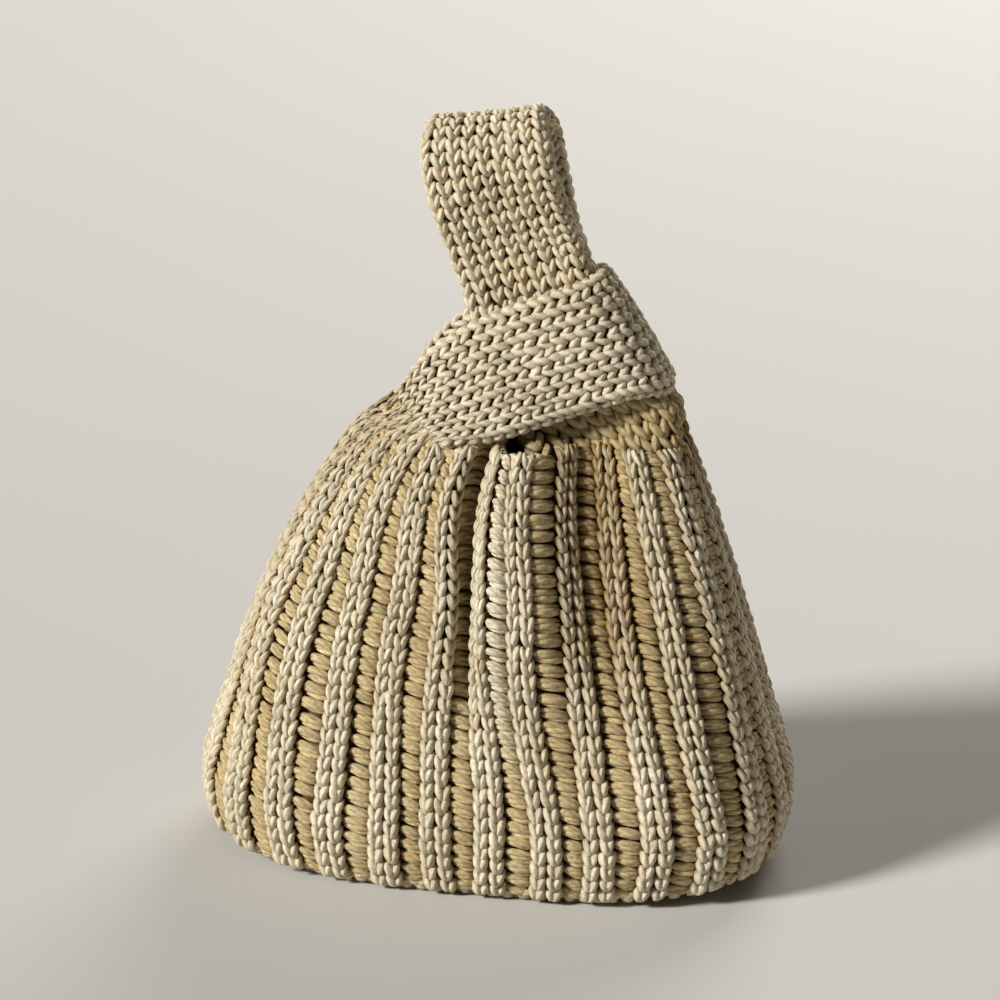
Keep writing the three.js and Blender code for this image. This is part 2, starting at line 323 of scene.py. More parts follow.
def addStrands(name, strands, material):
    # a ring carried along each strand's own path, two faces closing each end
    centre, up, radius, height, tone = [np.concatenate([strand[key] for strand in strands])
                                        for key in ("centre", "up", "radius", "height", "tone")]
    count, rings = radius.shape
    sides, flat = strandForm["sides"], strandForm["flat"]
    along = unit(np.gradient(centre, axis=1))
    across = unit(np.cross(along, up))
    rise = np.cross(across, along)
    turn = np.arange(sides) * (2 * math.pi / sides)
    ring = across[:, :, None] * np.cos(turn)[:, None] + rise[:, :, None] * (np.sin(turn) * flat)[:, None]
    points = centre[:, :, None] + ring * radius[:, :, None, None]
    level = height[:, :, None] + radius[:, :, None] * np.sin(turn) * flat
    # painted shade: the lower a point lies in the fabric, the more its tone is darkened
    depth = ramp(level, strandForm["deep"], strandForm["high"])[..., None]
    colour = np.ones((count, rings, sides, 4))
    colour[..., :3] = tone[:, None, None] * mix(strandForm["paintedShadeTone"], 1.0, depth)
    i, j = [g.ravel() for g in np.meshgrid(np.arange(rings - 1), np.arange(sides), indexing="ij")]
    q = (j + 1) % sides
    tube = np.stack([i * sides + j, (i + 1) * sides + j, (i + 1) * sides + q, i * sides + q], -1)
    cap = np.array([[0, 1, 2, 3], [0, 3, 4, 5]])
    quads = np.concatenate([tube, cap, cap[:, ::-1] + (rings - 1) * sides])
    way = np.concatenate([np.stack([i, i + 1, i + 1, i], -1) / (rings - 1), np.zeros((2, 4)), np.ones((2, 4))])
    about = np.concatenate([np.stack([j, j, j + 1, j + 1], -1) / sides, np.zeros((4, 4))])
    uv = np.stack(np.broadcast_arrays(way + rng.random(count)[:, None, None], about), -1)
    faces = (np.arange(count)[:, None, None] * (rings * sides) + quads).reshape(-1, 4)
    piece = addMesh(name, points.reshape(-1, 3), faces, material, uv.reshape(-1, 2), colour.reshape(-1, 4))
    print("  ", name, count, "strands", len(faces) * 2, "triangles")
    return piece


# stitches

toneForm = dict(spread=0.05, hue=0.012, green=0.4, blue=0.9, range=(0.6, 1.25))


def toneOf(n, base, spread=toneForm["spread"]):
    # each strand a little lighter or darker, and a little warmer or cooler
    light = 1 + spread * rng.standard_normal(n)
    tint = toneForm["hue"] * rng.standard_normal(n)
    hues = (1 + tint, 1 - toneForm["green"] * tint, 1 - toneForm["blue"] * tint)
    return np.clip(np.stack([light * hue for hue in hues], -1), *toneForm["range"]) * base


def laid(place, a, b, h, radius, tone):
    # strands whose paths run across, along and above a knitted surface
    a, b, h, radius = np.broadcast_arrays(a, b, h, radius)
    centre, up, height = place(a, b, h)
    return {"centre": centre, "up": up, "radius": radius, "height": height, "tone": tone}


vForm = dict(
    hand=-1,     # the side the plump leg lies on
    # of each leg: how far aside it starts and ends, rows it reaches up and down, girth
    plump=(0.345, 0.06, 0.50, 0.64, 0.296), slim=(0.275, 0.08, 0.60, 0.66, 0.256),
    rise=1.6, sinkTop=1.0, sinkFoot=0.7, topGirth=0.24, footGirth=0.36,
    close=1.05, fullWidth=6.8,                            # how soon the legs meet, the width rise is for
    sway=0.2, slip=0.055, swell=0.07, bob=0.14,     # how far a leg strays
)


def vLegs(place, across, along, perMm, width, tone, form=vForm):
    # two legs of a V: they start apart at the top, swing together and sink at both ends
    t, n, wide = strandWay, len(across), width[:, None]
    made = []
    for side, leg in ((form["hand"], "plump"), (-form["hand"], "slim")):
        top, foot, up, down, girth = form[leg]
        wander = rng.standard_normal((n, 4))
        a = side * mix(top, foot, smooth(t * form["close"])) * wide + form["sway"] * wander[:, :1]
        b = along[:, None] + up - (up + down) * t + form["slip"] * wander[:, 1:2]
        h = form["rise"] * np.sin(math.pi * t) - mix(form["sinkTop"], form["sinkFoot"], t)
        h = h * wide / form["fullWidth"] + form["bob"] * wander[:, 2:3]
        bend = np.where(t < 0.5, form["topGirth"], form["footGirth"]) * (2 * t - 1) ** 2
        radius = girth * wide * (1 - bend) * (1 + form["swell"] * wander[:, 3:])
        made.append(laid(place, across[:, None] + a * perMm[:, None], b, h, radius, toneOf(n, tone)))
    return made


barForm = dict(
    # of each strand: rows above the middle, girth, where it peaks (1 is the middle), where it starts, lightness
    lanes=((0.26, 1.65, 0.72, 0.0, 0.97), (-0.02, 1.55, 1.0, 0.04, 0.98), (-0.31, 1.45, 1.25, 0.14, 1.12)),
    tilt=0.26, endFan=0.62, lift=0.12, bulge=2.0, tuck=1.3, overlap=3.0, archPower=0.8,
    endGirth=0.55, slip=0.05, bob=0.25, swell=0.09, toneSpread=0.07,
)


def barStrands(place, across, along, perMm, width, tone, form=barForm):
    # a bar lying across a valley: strands spread in the middle like a lens and tuck in at both ends
    t, n = strandWay, len(across)
    made = []
    for lane, girth, peak, start, light in form["lanes"]:
        wander = rng.standard_normal((n, 3))
        a = (mix(start, 1.0, t) - 0.5) * (width + form["overlap"])[:, None]
        arch = np.sin(math.pi * t**peak) ** form["archPower"]
        b = (along[:, None] + lane * mix(form["endFan"], 1.0, arch) + form["tilt"] * (0.5 - t)
             + form["lift"] * arch + form["slip"] * wander[:, :1])
        h = form["bulge"] * arch * (1 - abs(lane)) - form["tuck"] * (2 * t - 1) ** 4 + form["bob"] * wander[:, 1:2]
        radius = girth * mix(form["endGirth"], 1.0, arch) * (1 + form["swell"] * wander[:, 2:])
        shade = toneOf(n, np.asarray(tone) * light, form["toneSpread"])
        made.append(laid(place, across[:, None] + a * perMm[:, None], b, h, radius, shade))
    return made


# the ribbed body

panelLow, panelHigh = np.array(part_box("front_panel")) * mm
hemLow, hemHigh = np.array(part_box("front_hem")) * mm

body = dict(
    ribs=28, ribAt=0.45, valleyAt=0.95, inset=-1.4, mouthInset=2.2,
    bellyPower=3.1, mouthPower=2.4, powerZ=(50.0, 170.0),     # how square the oval is
    bellyHeight=30.0, footTuck=8.0, foot=1.6, waist=0.11, drawIn=((0.75, 1.5), (0.25, 4)),
    driftPower=3, overTop=14.0, overDraw=1.15,
    cornerLift=8.0, cornerPower=3, liftTo=75.0,
    sway=(0.035, 2.3, 0.05), dent=(0.5, 1.7, 0.03), dentTo=40.0,   # size, turn a rib, turn a mm
    rowPitch=6.2, rowSpare=0.2, mostRows=60, rim=181.0, edgeRows=0.5,
    chain=7.0, chainDraw=0.30, chainShare=0.43, chainFirst=0.6, chainSpare=0.45, rootSpare=1.2,
    valleyDepth=3.1, valleyCurve=2.2, valleyLight=2.2,
    barFirst=0.3, barSpare=(0.1, 0.9), barLeast=1.0,
    creamTone=(1.0, 1.0, 1.0), valleyShadeTone=(0.83, 0.74, 0.55),
)
pleats = dict(
    depthZ=(55.0, 122.0), slideZ=(22.0, 128.0), rimZ=(118.0, 176.0),     # heights they grow between
    slideSpread=0.2, depthSpread=0.09, seamHold=0.6, shade=0.16,
    rimAt=(0, 1.45, 2.45, 3.45, 4.45, 5.45, 6.45, 7.45, 8.45, 9.0, 9.45, 10, 14),
    rimSlide=(0, -0.05, -0.18, -0.36, -0.52, -0.58, -0.6, -0.34, -0.42, -0.2, -0.05, 0, 0),
    slideAt=(0, 0.45, 1.45, 2.45, 3.45, 4.45, 5.45, 6.45, 7.05, 7.6, 8.6, 9.45, 10.45, 11.45, 12.45, 13.45, 14),
    slide=(0, -0.1, -0.35, -0.6, -0.57, -0.4, -0.27, -0.17, -0.39, -0.48, -0.47, -0.27, -0.12, 0, 0.3, 0.25, 0),
    depthAt=(0, 5.7, 6.35, 6.62, 6.82, 7.04, 7.24, 7.42, 7.7, 8.45, 8.75, 8.95, 9.15, 9.45, 9.85, 10.3, 10.8,
             11.5, 12.2, 14),
    depth=(0, 0, 1.5, 0, -6, -12, -8, 2, 3, 2.5, 2.0, 0, -4.5, -9.5, -12.5, -12.5, -8, -3, 0, 0),
    openAt=7.95, openWidth=0.3, openRows=(7.0, 16.0), openRise=0.55,     # where the fold pulls
)
fineness = dict(levels=24, angles=4001, shares=1401, rises=1200, places=801)
halfRibs = body["ribs"] / 2
bellyHalf = np.array([(panelHigh[0] - panelLow[0]) / 2, -panelLow[1]]) - body["inset"]
mouthHalf = np.array([(hemHigh[0] - hemLow[0]) / 2, -hemLow[1]]) - body["mouthInset"]
mouthShift = (hemHigh[0] + hemLow[0]) / 2
bodyTop = hemHigh[2]


def girthAt(z):
    # half width, half depth and sideways drift at a height: a round foot, then a draw-in to the mouth
    low = np.clip(1 - z / body["bellyHeight"], 0, 1)
    tuck = body["footTuck"] * (1 - np.sqrt(1 - low**2))
    t = np.clip((z - body["bellyHeight"]) / (bodyTop - body["bellyHeight"]), 0, body["overDraw"])
    full = 1 - sum(share * t**power for share, power in body["drawIn"])
    full = full - body["waist"] * np.clip(4 * t * (1 - t), 0, 1)
    halfX, halfY = [mix(mouth, belly, full) - tuck for mouth, belly in zip(mouthHalf, bellyHalf)]
    return halfX, halfY, mouthShift * t**body["driftPower"]


def powerAt(z):
    # how square the oval is: squarest at the belly, rounder up to the mouth
    return mix(body["bellyPower"], body["mouthPower"], ramp(z, *body["powerZ"]))


def ovalPoint(angle, halfX, halfY, power):
    # a squared-off oval read by the direction from its middle
    c, s = np.cos(angle), np.sin(angle)
    reach = ((np.abs(c) / halfX) ** power + (np.abs(s) / halfY) ** power) ** (-1 / power)
    return reach * c, reach * s


def cornerRise(x, halfX, z):
    # the bottom lifts off the ground toward both sides, less and less up the wall
    toSide = np.minimum(np.abs(x / halfX), 1.0) ** body["cornerPower"]
    return body["cornerLift"] * toSide * (1 - smooth(z / body["liftTo"]))


# directions that divide the girth evenly, tabled at even heights
levelZ = np.linspace(body["foot"], bodyTop + body["overTop"], fineness["levels"])
levelX, levelY = [g[:, None] for g in girthAt(levelZ)[:2]]
ovalAngle = math.pi + np.linspace(0, 2 * math.pi, fineness["angles"])
ovalLine = np.stack(ovalPoint(ovalAngle[None], levelX, levelY, powerAt(levelZ)[:, None]), -1)
ovalRun = np.pad(np.cumsum(np.linalg.norm(np.diff(ovalLine, axis=1), axis=-1), axis=1), ((0, 0), (1, 0)))
shareSteps = np.linspace(0, 1, fineness["shares"])
angleTable = np.stack([np.interp(shareSteps, run / run[-1], ovalAngle) for run in ovalRun])


def angleAt(share, z):
    # the direction a share of the way round at a height, read between four table entries
    i = np.clip((z - levelZ[0]) / (levelZ[1] - levelZ[0]), 0, len(levelZ) - 1.001)
    j = np.clip(share, 0, 0.999999) * (len(shareSteps) - 1)
    a, b = i.astype(int), j.astype(int)
    low = mix(angleTable[a, b], angleTable[a, b + 1], j - b)
    return mix(low, mix(angleTable[a + 1, b], angleTable[a + 1, b + 1], j - b), i - a)


# rows are counted along the slope of the wall, and one of them ends on the rim
riseZ = np.linspace(body["foot"], bodyTop + body["overTop"], fineness["rises"])
riseHalf = sum(girthAt(riseZ)[:2]) / 2
riseRun = np.pad(np.cumsum(np.hypot(np.diff(riseZ), np.diff(riseHalf))), (1, 0))
rimRun = np.interp(body["rim"], riseZ, riseRun)
rimRow = np.round(rimRun / body["rowPitch"] - body["rowSpare"]) + body["rowSpare"]
rowPitch = rimRun / rimRow
edgeRow = rimRow + body["edgeRows"]
print("rows to the rim:", round(float(rimRow), 2))


def heightAt(w):
    return np.interp(w * rowPitch, riseRun, riseZ)


def frontOf(u):
    # the rib counted from the left seam, on the front or behind it, and whether it lies behind
    u = np.mod(u, body["ribs"])
    rear = u > halfRibs
    return np.where(rear, body["ribs"] - u, u), rear


def softTable(at, value, spread):
    # a list of values read at places from seam to seam, rounded off by a bell of the given spread
    fine = np.linspace(0, halfRibs, fineness["places"])
    reach = int(4 * spread / fine[1])
    bell = np.exp(-0.5 * (np.arange(-reach, reach + 1) * fine[1] / spread) ** 2)
    raw = np.pad(np.interp(fine, at, value), reach, mode="edge")
    return fine, np.convolve(raw, bell / bell.sum(), mode="valid")


def heldTable(at, value):
    # a rounded list of slides brought to nothing at both side seams
    place, slide = softTable(at, value, pleats["slideSpread"])
    return place, slide * smooth(np.minimum(place, halfRibs - place) / pleats["seamHold"])


slideTable = heldTable(pleats["slideAt"], pleats["slide"])
rimTable = heldTable(pleats["rimAt"], pleats["rimSlide"])
depthTable = softTable(pleats["depthAt"], pleats["depth"], pleats["depthSpread"])


def ripple(form, front, z):
    # a small sine that slants across the ribs
    size, perRib, perMm = form
    return size * np.sin(perRib * front + perMm * z)


def bodySurface(u, w):
    # u counts ribs from the left seam, w counts rows up: an oval of the girth at that row,
    # its ribs slid sideways and pushed in or out along the pleats
    z = heightAt(w)
    front, rear = frontOf(u)
    slid = (front + np.interp(front, *slideTable) * ramp(z, *pleats["slideZ"])
            + np.interp(front, *rimTable) * ramp(z, *pleats["rimZ"]) + ripple(body["sway"], front, z))
    slid = np.where(rear, body["ribs"] - slid, slid)
    halfX, halfY, drift = girthAt(z)
    power = powerAt(z)
    x, y = ovalPoint(angleAt(np.mod(slid / body["ribs"], 1), z), halfX, halfY, power)
    steep = [np.sign(a) * np.abs(a / half) ** (power - 1) / half for a, half in ((x, halfX), (y, halfY))]
    outward = unit(point(*steep, 0))
    push = (np.interp(front, *depthTable) * ramp(z, *pleats["depthZ"])
            + ripple(body["dent"], front, z) * smooth(z / body["dentTo"]))
    return point(x + drift, y, z + cornerRise(x, halfX, z)) + outward * push[..., None]


def pleatPaintedShade(u, w):
    # painted shade in the pleats' recesses: how much deeper a strand is toned, a share of the pleat's depth there
    deep = np.minimum(np.interp(frontOf(u)[0], *depthTable), 0)
    return pleats["shade"] * deep * ramp(heightAt(w), *pleats["depthZ"])


def ribHeight(u):
    # a rounded ridge that falls into the valley half a rib away
    q = u - body["ribAt"]
    return -body["valleyDepth"] * np.abs(2 * (q - np.round(q))) ** body["valleyCurve"]


# the knot: a frame of its own, across (v), out (y) and up the long handle (d)

knot = dict(belowFold=49.0)
fold = joints["wrist_loop_fold"]
knotUp = np.array(joints["long_handle_pull"]["axis"], float)
knotAcross = np.array(fold["axis"], float)
knotMiddle = np.array(fold["pos_m"], float) * mm - knotUp * knot["belowFold"]
mirrorY = np.array([1.0, -1.0, 1.0])


def knotPoint(v, y, d):
    v, y, d = np.broadcast_arrays(v, y, d)
    return knotMiddle + v[..., None] * knotAcross + d[..., None] * knotUp + point(0, y, 0)


def knotLine(stations):
    return [knotPoint(v, y, d) for v, d, y in stations]


def mirrored(path):
    # the same path on the far side, run back the other way
    return path[::-1] * mirrorY


ribbonForm = dict(skin=1.0, rowSpare=0.8, step=(0.01, 0.004), coreInset=1.7)


class Ribbon:
    # a flat band between two edge lines, read at e across and s along, crowned in the middle
    def __init__(self, first, second, crown, form, paired):
        self.width, self.thick, self.wales = form["width"], form["thick"], form["wales"]
        self.flat = self.width - self.thick
        self.round = 2 * self.flat + math.pi * self.thick
        self.root = None
        self.s = np.linspace(0, 1, len(first))
        self.first, self.second = (first, second) if paired else (self.evenly(first), self.evenly(second))
        # rows are spaced along the longer of the two skins, so none crowd at the folds
        middle, face = self.middle()
        lift = self.thick / 2 + ribbonForm["skin"]
        skins = [np.linalg.norm(np.diff(middle + face * side * lift, axis=0), axis=1) for side in (-1, 1)]
        run = np.pad(np.cumsum(np.maximum(*skins)), (1, 0))
        even = np.interp(self.s * run[-1], run, self.s)
        self.first, self.second = [readAt(even, self.s, edge) for edge in (self.first, self.second)]
        self.crown = self.middle()[1] * np.interp(even, *crown)[:, None]
        self.rows = round(run[-1] / form["pitch"] - ribbonForm["rowSpare"]) + ribbonForm["rowSpare"]

    def middle(self):
        middle = (self.first + self.second) / 2
        return middle, unit(np.cross(np.gradient(middle, axis=0), self.second - self.first))

    def evenly(self, line):
        run = runAlong(line)
        return readAt(self.s * run[-1], run, line)

    def surface(self, e, s):
        # between the edges, raised by the crown, and eased onto the root at both ends
        e, s = np.broadcast_arrays(e, s)
        k = e[..., None]
        at = mix(readAt(s, self.s, self.first), readAt(s, self.s, self.second), k)
        at = at + 4 * k * (1 - k) * readAt(s, self.s, self.crown)
        if self.root is None:
            return at
        places, offset, reach = self.root
        step = readAt(e, places, offset) * (1 - smooth(np.minimum(s, 1 - s) / reach))[..., None]
        step[..., 1] *= np.where(s > 0.5, -1, 1)
        return at + step

    def place(self, q, w, h):
        # q runs in wales round the rounded edge of the band, w in rows along it, h outwards from its skin
        p = np.mod(q * self.round / self.wales + self.round / 2, self.round) - self.round / 2
        size, sign = np.abs(p), np.where(p < 0, -1.0, 1.0)
        turn = np.clip((size - self.flat / 2) / (self.thick / 2), 0, math.pi)
        x = np.where(size < self.flat / 2, size, self.flat / 2 + self.thick / 2 * np.sin(turn))
        x = np.where(turn >= math.pi, self.flat - (size - math.pi * self.thick / 2), x) * sign
        y = self.thick / 2 * np.cos(turn)
        outX, outY = np.sin(turn) * sign, np.cos(turn)
        e, s = 0.5 + x / self.width, w / self.rows
        cross, forward = [unit(g) for g in slopes(self.surface, e, s, *ribbonForm["step"])]
        face = unit(np.cross(forward, cross))
        outward = unit(cross * outX[..., None] + face * outY[..., None])
        return self.surface(e, s) + face * y[..., None] + outward * h[..., None], outward, h

    def core(self, grid, start, end):
        # the skin set in from the stitches, between two rows
        rows, columns = grid
        q = np.linspace(0, self.wales, columns, endpoint=False)[None]
        w = np.linspace(start, end, rows)[:, None]
        return self.place(*np.broadcast_arrays(q, w, -ribbonForm["coreInset"]))[0]


band = dict(
    # stations of the two edges: across, up and out of the knot
    outer=[(-60, 9.5, -13), (-45, 20.5, -15.5), (-25, 28.5, -16.5), (0, 32.0, -16.0), (14, 32.4, -14.8)],
    inner=[(-45.6, -13.8, -27), (-23.3, -17.0, -22), (2.8, -16.3, -17.5), (25.3, -16.2, -14.8)],
    outerFold=16.8, innerFold=28.8, innerDroop=5.5, foldRadius=14.1, foldTurn=84,
    crown=3.0, crownAt=[0, 0.1, 0.3, 0.42, 0.58, 0.7, 0.9, 1], crownShare=[0, 0.7, 1, 0.4, 0.4, 1, 0.7, 0],
    width=52.0, thick=7.0, pitch=5.1, wales=19, waleShift=0.5, tone=(0.99, 0.98, 0.97),
    coreGrid=(70, 36),
    frontSteps=160, frontSkip=8, turnSteps=60, turnSkip=6, steps=500,
)


def bandEdge(stations, foldAt, droop):
    # the front stations, then the half turn round the neck, then the same line behind
    front = throughPoints(knotLine(stations), band["frontSteps"])
    turn = np.radians(np.linspace(-band["foldTurn"], band["foldTurn"], band["turnSteps"]))
    rise = stations[-1][1] - droop * np.cos(turn) ** 2
    bend = knotPoint(foldAt + band["foldRadius"] * np.cos(turn), band["foldRadius"] * np.sin(turn), rise)
    skip = band["frontSkip"]
    line = np.concatenate([front[::skip], bend[::band["turnSkip"]], mirrored(front)[::skip]])
    return throughPoints(line, band["steps"])


bandCrown = band["crownAt"], np.array(band["crownShare"]) * band["crown"]
bandRibbon = Ribbon(bandEdge(band["inner"], band["innerFold"], band["innerDroop"]),
                    bandEdge(band["outer"], band["outerFold"], 0.0), bandCrown, band, False)
print("short handle rows:", round(float(bandRibbon.rows), 1))

legs = dict(
    left=(0.35, 5.95), right=(13.6, 9.0),     # ribs that run on into a handle, outer to inner
    overhang=0.1, leaveRows=0.5, arrive=0.02, seamReach=0.45, leastRows=0.4,
    spare=0.5, grid=(30, 60),
)
leftOuter, leftInner = legs["left"]
rightOuter, rightInner = legs["right"]


def leftLeg(u, s):
    # a cubic from the rim, leaving up the wall, to the root of the short handle, arriving along it
    e = np.clip((leftInner - u) / (leftInner - leftOuter), -legs["overhang"], 1 + legs["overhang"])
    start = bodySurface(u, rimRow + 0 * u)
    leave = unit(start - bodySurface(u, rimRow - legs["leaveRows"] + 0 * u))
    end = bandRibbon.surface(e, 0)
    arrive = unit(bandRibbon.surface(e, legs["arrive"]) - end)
    reach = np.linalg.norm(end - start, axis=-1, keepdims=True)
    past = np.maximum(s - 1, 0)[..., None]
    return cubic(start, reach * leave, end, reach * arrive, np.minimum(s, 1)[..., None]) + past * reach * arrive


legU = np.linspace(leftOuter - legs["spare"], leftInner + legs["spare"], legs["grid"][1])
legGrid = leftLeg(*np.meshgrid(legU, np.linspace(0, 1, legs["grid"][0])))
legRun = np.linalg.norm(np.diff(legGrid, axis=0), axis=-1).sum(0)


def legRows(u):
    return np.interp(u, legU, legRun) / rowPitch


def ribSurface(u, w):
    # the body up to the rim, and above it the left ribs running on into the short handle
    front, rear = frontOf(u)
    leg = leftLeg(front, (w - rimRow) / np.maximum(legRows(front), legs["leastRows"]))
    leg[..., 1] *= np.where(rear, -1, 1)
    risen = (w > rimRow) & (front > leftOuter - legs["seamReach"]) & (front < leftInner)
    return np.where(risen[..., None], leg, bodySurface(u, w))


ribStep = dict(slope=(0.04, 0.15), pitch=0.1)     # how far to either side a slope is measured


def ribNormal(u, w):
    return unit(np.cross(*slopes(ribSurface, u, w, *ribStep["slope"])))


def ribPlace(u, w, h):
    # h above the ridge of the rib, along its normal
    normal = ribNormal(u, w)
    level = ribHeight(u) + h
    return ribSurface(u, w) + normal * level[..., None], normal, level + pleatPaintedShade(u, w)


def openness(u, w):
    # 1 in the valley the fold pulls open, fading to its sides and toward the foot
    aside = (frontOf(u)[0] - pleats["openAt"]) / pleats["openWidth"]
    return np.exp(-aside**2) * ramp(w, *pleats["openRows"])


def valleyPlace(u, w, h):
    # h above the floor of the valley, which comes up where the fold pulls it open
    normal = ribNormal(u, w)
    level = -body["valleyDepth"] * (1 - pleats["openRise"] * openness(u, w)) + h
    # painted shade: the third value sets how much a bar is darkened, raised by valleyLight and lowered in a pleat
    return ribSurface(u, w) + normal * level[..., None], normal, level + body["valleyLight"] + pleatPaintedShade(u, w)


def pitchAt(u, w):
    # millimetres to one rib
    step = ribStep["pitch"]
    return np.linalg.norm(ribSurface(u + step, w) - ribSurface(u - step, w), axis=-1) / (2 * step)


def stitchList(columns, first, spare, above):
    # rows of every column to the rim or on into a handle, less those to spare at the free rim and the root,
    # kept above the edge or below it
    u, w = np.meshgrid(columns, np.arange(first, body["mostRows"], 1.0), indexing="ij")
    front = frontOf(u)[0]
    onLeg = (front > leftOuter) & (front < leftInner)
    onRoot = (front > rightInner) & (front < rightOuter)
    more = np.where(onLeg, legRows(front), 0) + np.where(onRoot, body["rootSpare"], body["chainSpare"])
    less = np.where(front < leftInner, 0.0, np.where(front < rightInner, *spare))
    keep = (w <= rimRow + more - less) & ((w > edgeRow) == above)
    return u[keep], w[keep], pitchAt(u[keep], w[keep])


def chainWidth(pitch, w):
    # a chain is a set width, drawn in toward the rim, and never more than its share of the rib
    drawn = body["chain"] * (1 - body["chainDraw"] * np.clip(w / rimRow, 0, 1))
    return np.minimum(drawn, body["chainShare"] * pitch)


ribs = np.arange(body["ribs"]) + body["ribAt"]
valleys = np.arange(body["ribs"]) + body["valleyAt"]


def ribStitches(columns, above):
    # two chains of V stitches side by side on each rib
    u, w, pitch = stitchList(columns, body["chainFirst"], (0.0, 0.0), above)
    width = chainWidth(pitch, w)
    made = []
    for side in (-0.5, 0.5):
        made += vLegs(ribPlace, u + side * width / pitch, w, 1 / pitch, width, body["creamTone"])
    return made


def valleyStitches(columns, above):
    # bars as wide as the chains leave room for, tan as painted shade in the valley, paler where the valley is
    # pulled open
    u, w, pitch = stitchList(columns, body["barFirst"], body["barSpare"], above)
    width = np.maximum(pitch - 2 * chainWidth(pitch, w), body["barLeast"])
    tone = mix(body["valleyShadeTone"], 1.0, openness(u, w)[:, None])
    return barStrands(valleyPlace, u, w, 1 / pitch, width, tone)


pieces = {}
for face, facing in (("front", ribs < halfRibs), ("back", ribs > halfRibs)):
    columns, gaps = ribs[facing], valleys[facing]
    pieces[face + "Ribs"] = addStrands(face + "_rib_chains", ribStitches(columns, False), ribYarn)
    pieces[face + "Valleys"] = addStrands(face + "_valley_bars", valleyStitches(gaps, False), barYarn)
    risers = ribStitches(columns, True) + valleyStitches(gaps, True)
    pieces[face + "Leg"] = addStrands("short_handle_" + face + "_ribs", risers, ribYarn)
print("ribbed body knitted")

# the wrong side behind the ribs, open at the mouth
lining = dict(
    behind=(4.6, 7.0), perRib=8, rows=44, foot=-0.2, normalBelow=0.2,
    legBehind=(2.6, 4.8), legRibs=(0.75, 5.7), legSpan=(-0.02, 0.93), legGrid=(14, 26),
    step=(0.05, 0.05),
)


def wallLining():
    # the body's surface set back behind the valleys
    around = np.linspace(0, body["ribs"], body["ribs"] * lining["perRib"], endpoint=False)
    u, w = np.meshgrid(around, np.linspace(lining["foot"], edgeRow, lining["rows"]))
    at, outward = bodySurface(u, w), ribNormal(u, np.minimum(w, rimRow - lining["normalBelow"]))
    return addShell("body_wrong_side", *[at - outward * behind for behind in lining["behind"]], True, wrongSidePaintedShade)


def legLining(face):
    # the left ribs' run into the handle, set back behind them and mirrored for the back
    rows, columns = lining["legGrid"]
    u, s = np.meshgrid(np.linspace(*lining["legRibs"], columns), np.linspace(*lining["legSpan"], rows))
    outward = unit(np.cross(*slopes(leftLeg, u, s, *lining["step"])))
    faces = [leftLeg(u, s) - outward * behind for behind in lining["legBehind"]]
    if face == "back":
        faces = [g[:, ::-1] * mirrorY for g in faces]
    return addShell("short_handle_" + face + "_wrong_side", *faces, False, wrongSidePaintedShade)


pieces["wall"] = wallLining()
for face in ("front", "back"):
    pieces[face + "LegBack"] = legLining(face)
print("wrong side lined")


# the two handles

strapForm = dict(
    vForm, hand=1,
    plump=(0.385, 0.04, 0.50, 0.62, 0.29), slim=(0.36, 0.06, 0.66, 0.56, 0.24),
    rise=1.2, sinkTop=0.8, sinkFoot=0.6, sway=0.22, slip=0.06, swell=0.08,
)
bandForm = dict(
    strapForm, hand=-1,
    plump=(0.42, 0.03, 0.52, 0.62, 0.312), slim=(0.43, 0.04, 0.42, 0.52, 0.284),
)
strapRows = dict(first=0.4, spare=0.3, step=0.25, widest=1.12)


def strapStitches(ribbon, shift, low, high, toneAt, form):
    # a V on every wale and row, as wide as its wale is there
    q, w = np.meshgrid(np.arange(ribbon.wales) + shift, np.arange(low, high, 1.0), indexing="ij")
    q, w = q.ravel(), w.ravel()
    step = strapRows["step"]
    gap = ribbon.place(q + step, w, 0 * q)[0] - ribbon.place(q - step, w, 0 * q)[0]
    wale = np.linalg.norm(gap, axis=-1) / (2 * step)
    width = np.minimum(wale, strapRows["widest"] * ribbon.round / ribbon.wales)
    return vLegs(ribbon.place, q, w, 1 / width, width, toneAt(w), form)


lastBandRow = bandRibbon.rows - strapRows["spare"]
bandStitches = strapStitches(bandRibbon, band["waleShift"], strapRows["first"], lastBandRow,
                             lambda w: band["tone"], bandForm)
bandCore = bandRibbon.core(band["coreGrid"], 0.0, bandRibbon.rows)
pieces["band"] = addStrands("short_handle_band", bandStitches, strapYarn)
pieces["bandCore"] = addTube("short_handle_core", bandCore, wrongSidePaintedShade)

strap = dict(
    width=51.5, shift=3.0, thick=7.0, pitch=5.75, wales=18, crown=1.0,
    # painted light: the long handle's yarn tone is set a little lighter than the body's
    tone=(1.04, 1.03, 1.0), rootShadeTone=(0.70, 0.61, 0.43), rootRise=(4.0, 11.0),   # rows it fades over
    coreGrid=(60, 36), steps=900,
    outer=[(44.3, -27.8, -7.0), (30.5, -9, -5.0), (28.5, 10, -4.0), (28.5, 30, -3.7)],
    inner=[(-20, -18, -7.5), (-22, -5, -5.5), (-22.5, 10, -4.2), (-22.7, 30, -3.7)],
    neck=3.7, neckFrom=36, flareTo=89.0, flareHalf=11.5, crownRise=16.5,
    corner=2.6, cornerFrom=94.0, bendRadius=312.5, meet=44.0,
    neckSteps=80, overSteps=60, skip=4,
    rootRows=(-1.0, 0.1), rootInset=(9.0, 2.5), insetFrom=11.8, rootReach=0.10, rootSteps=41,
)


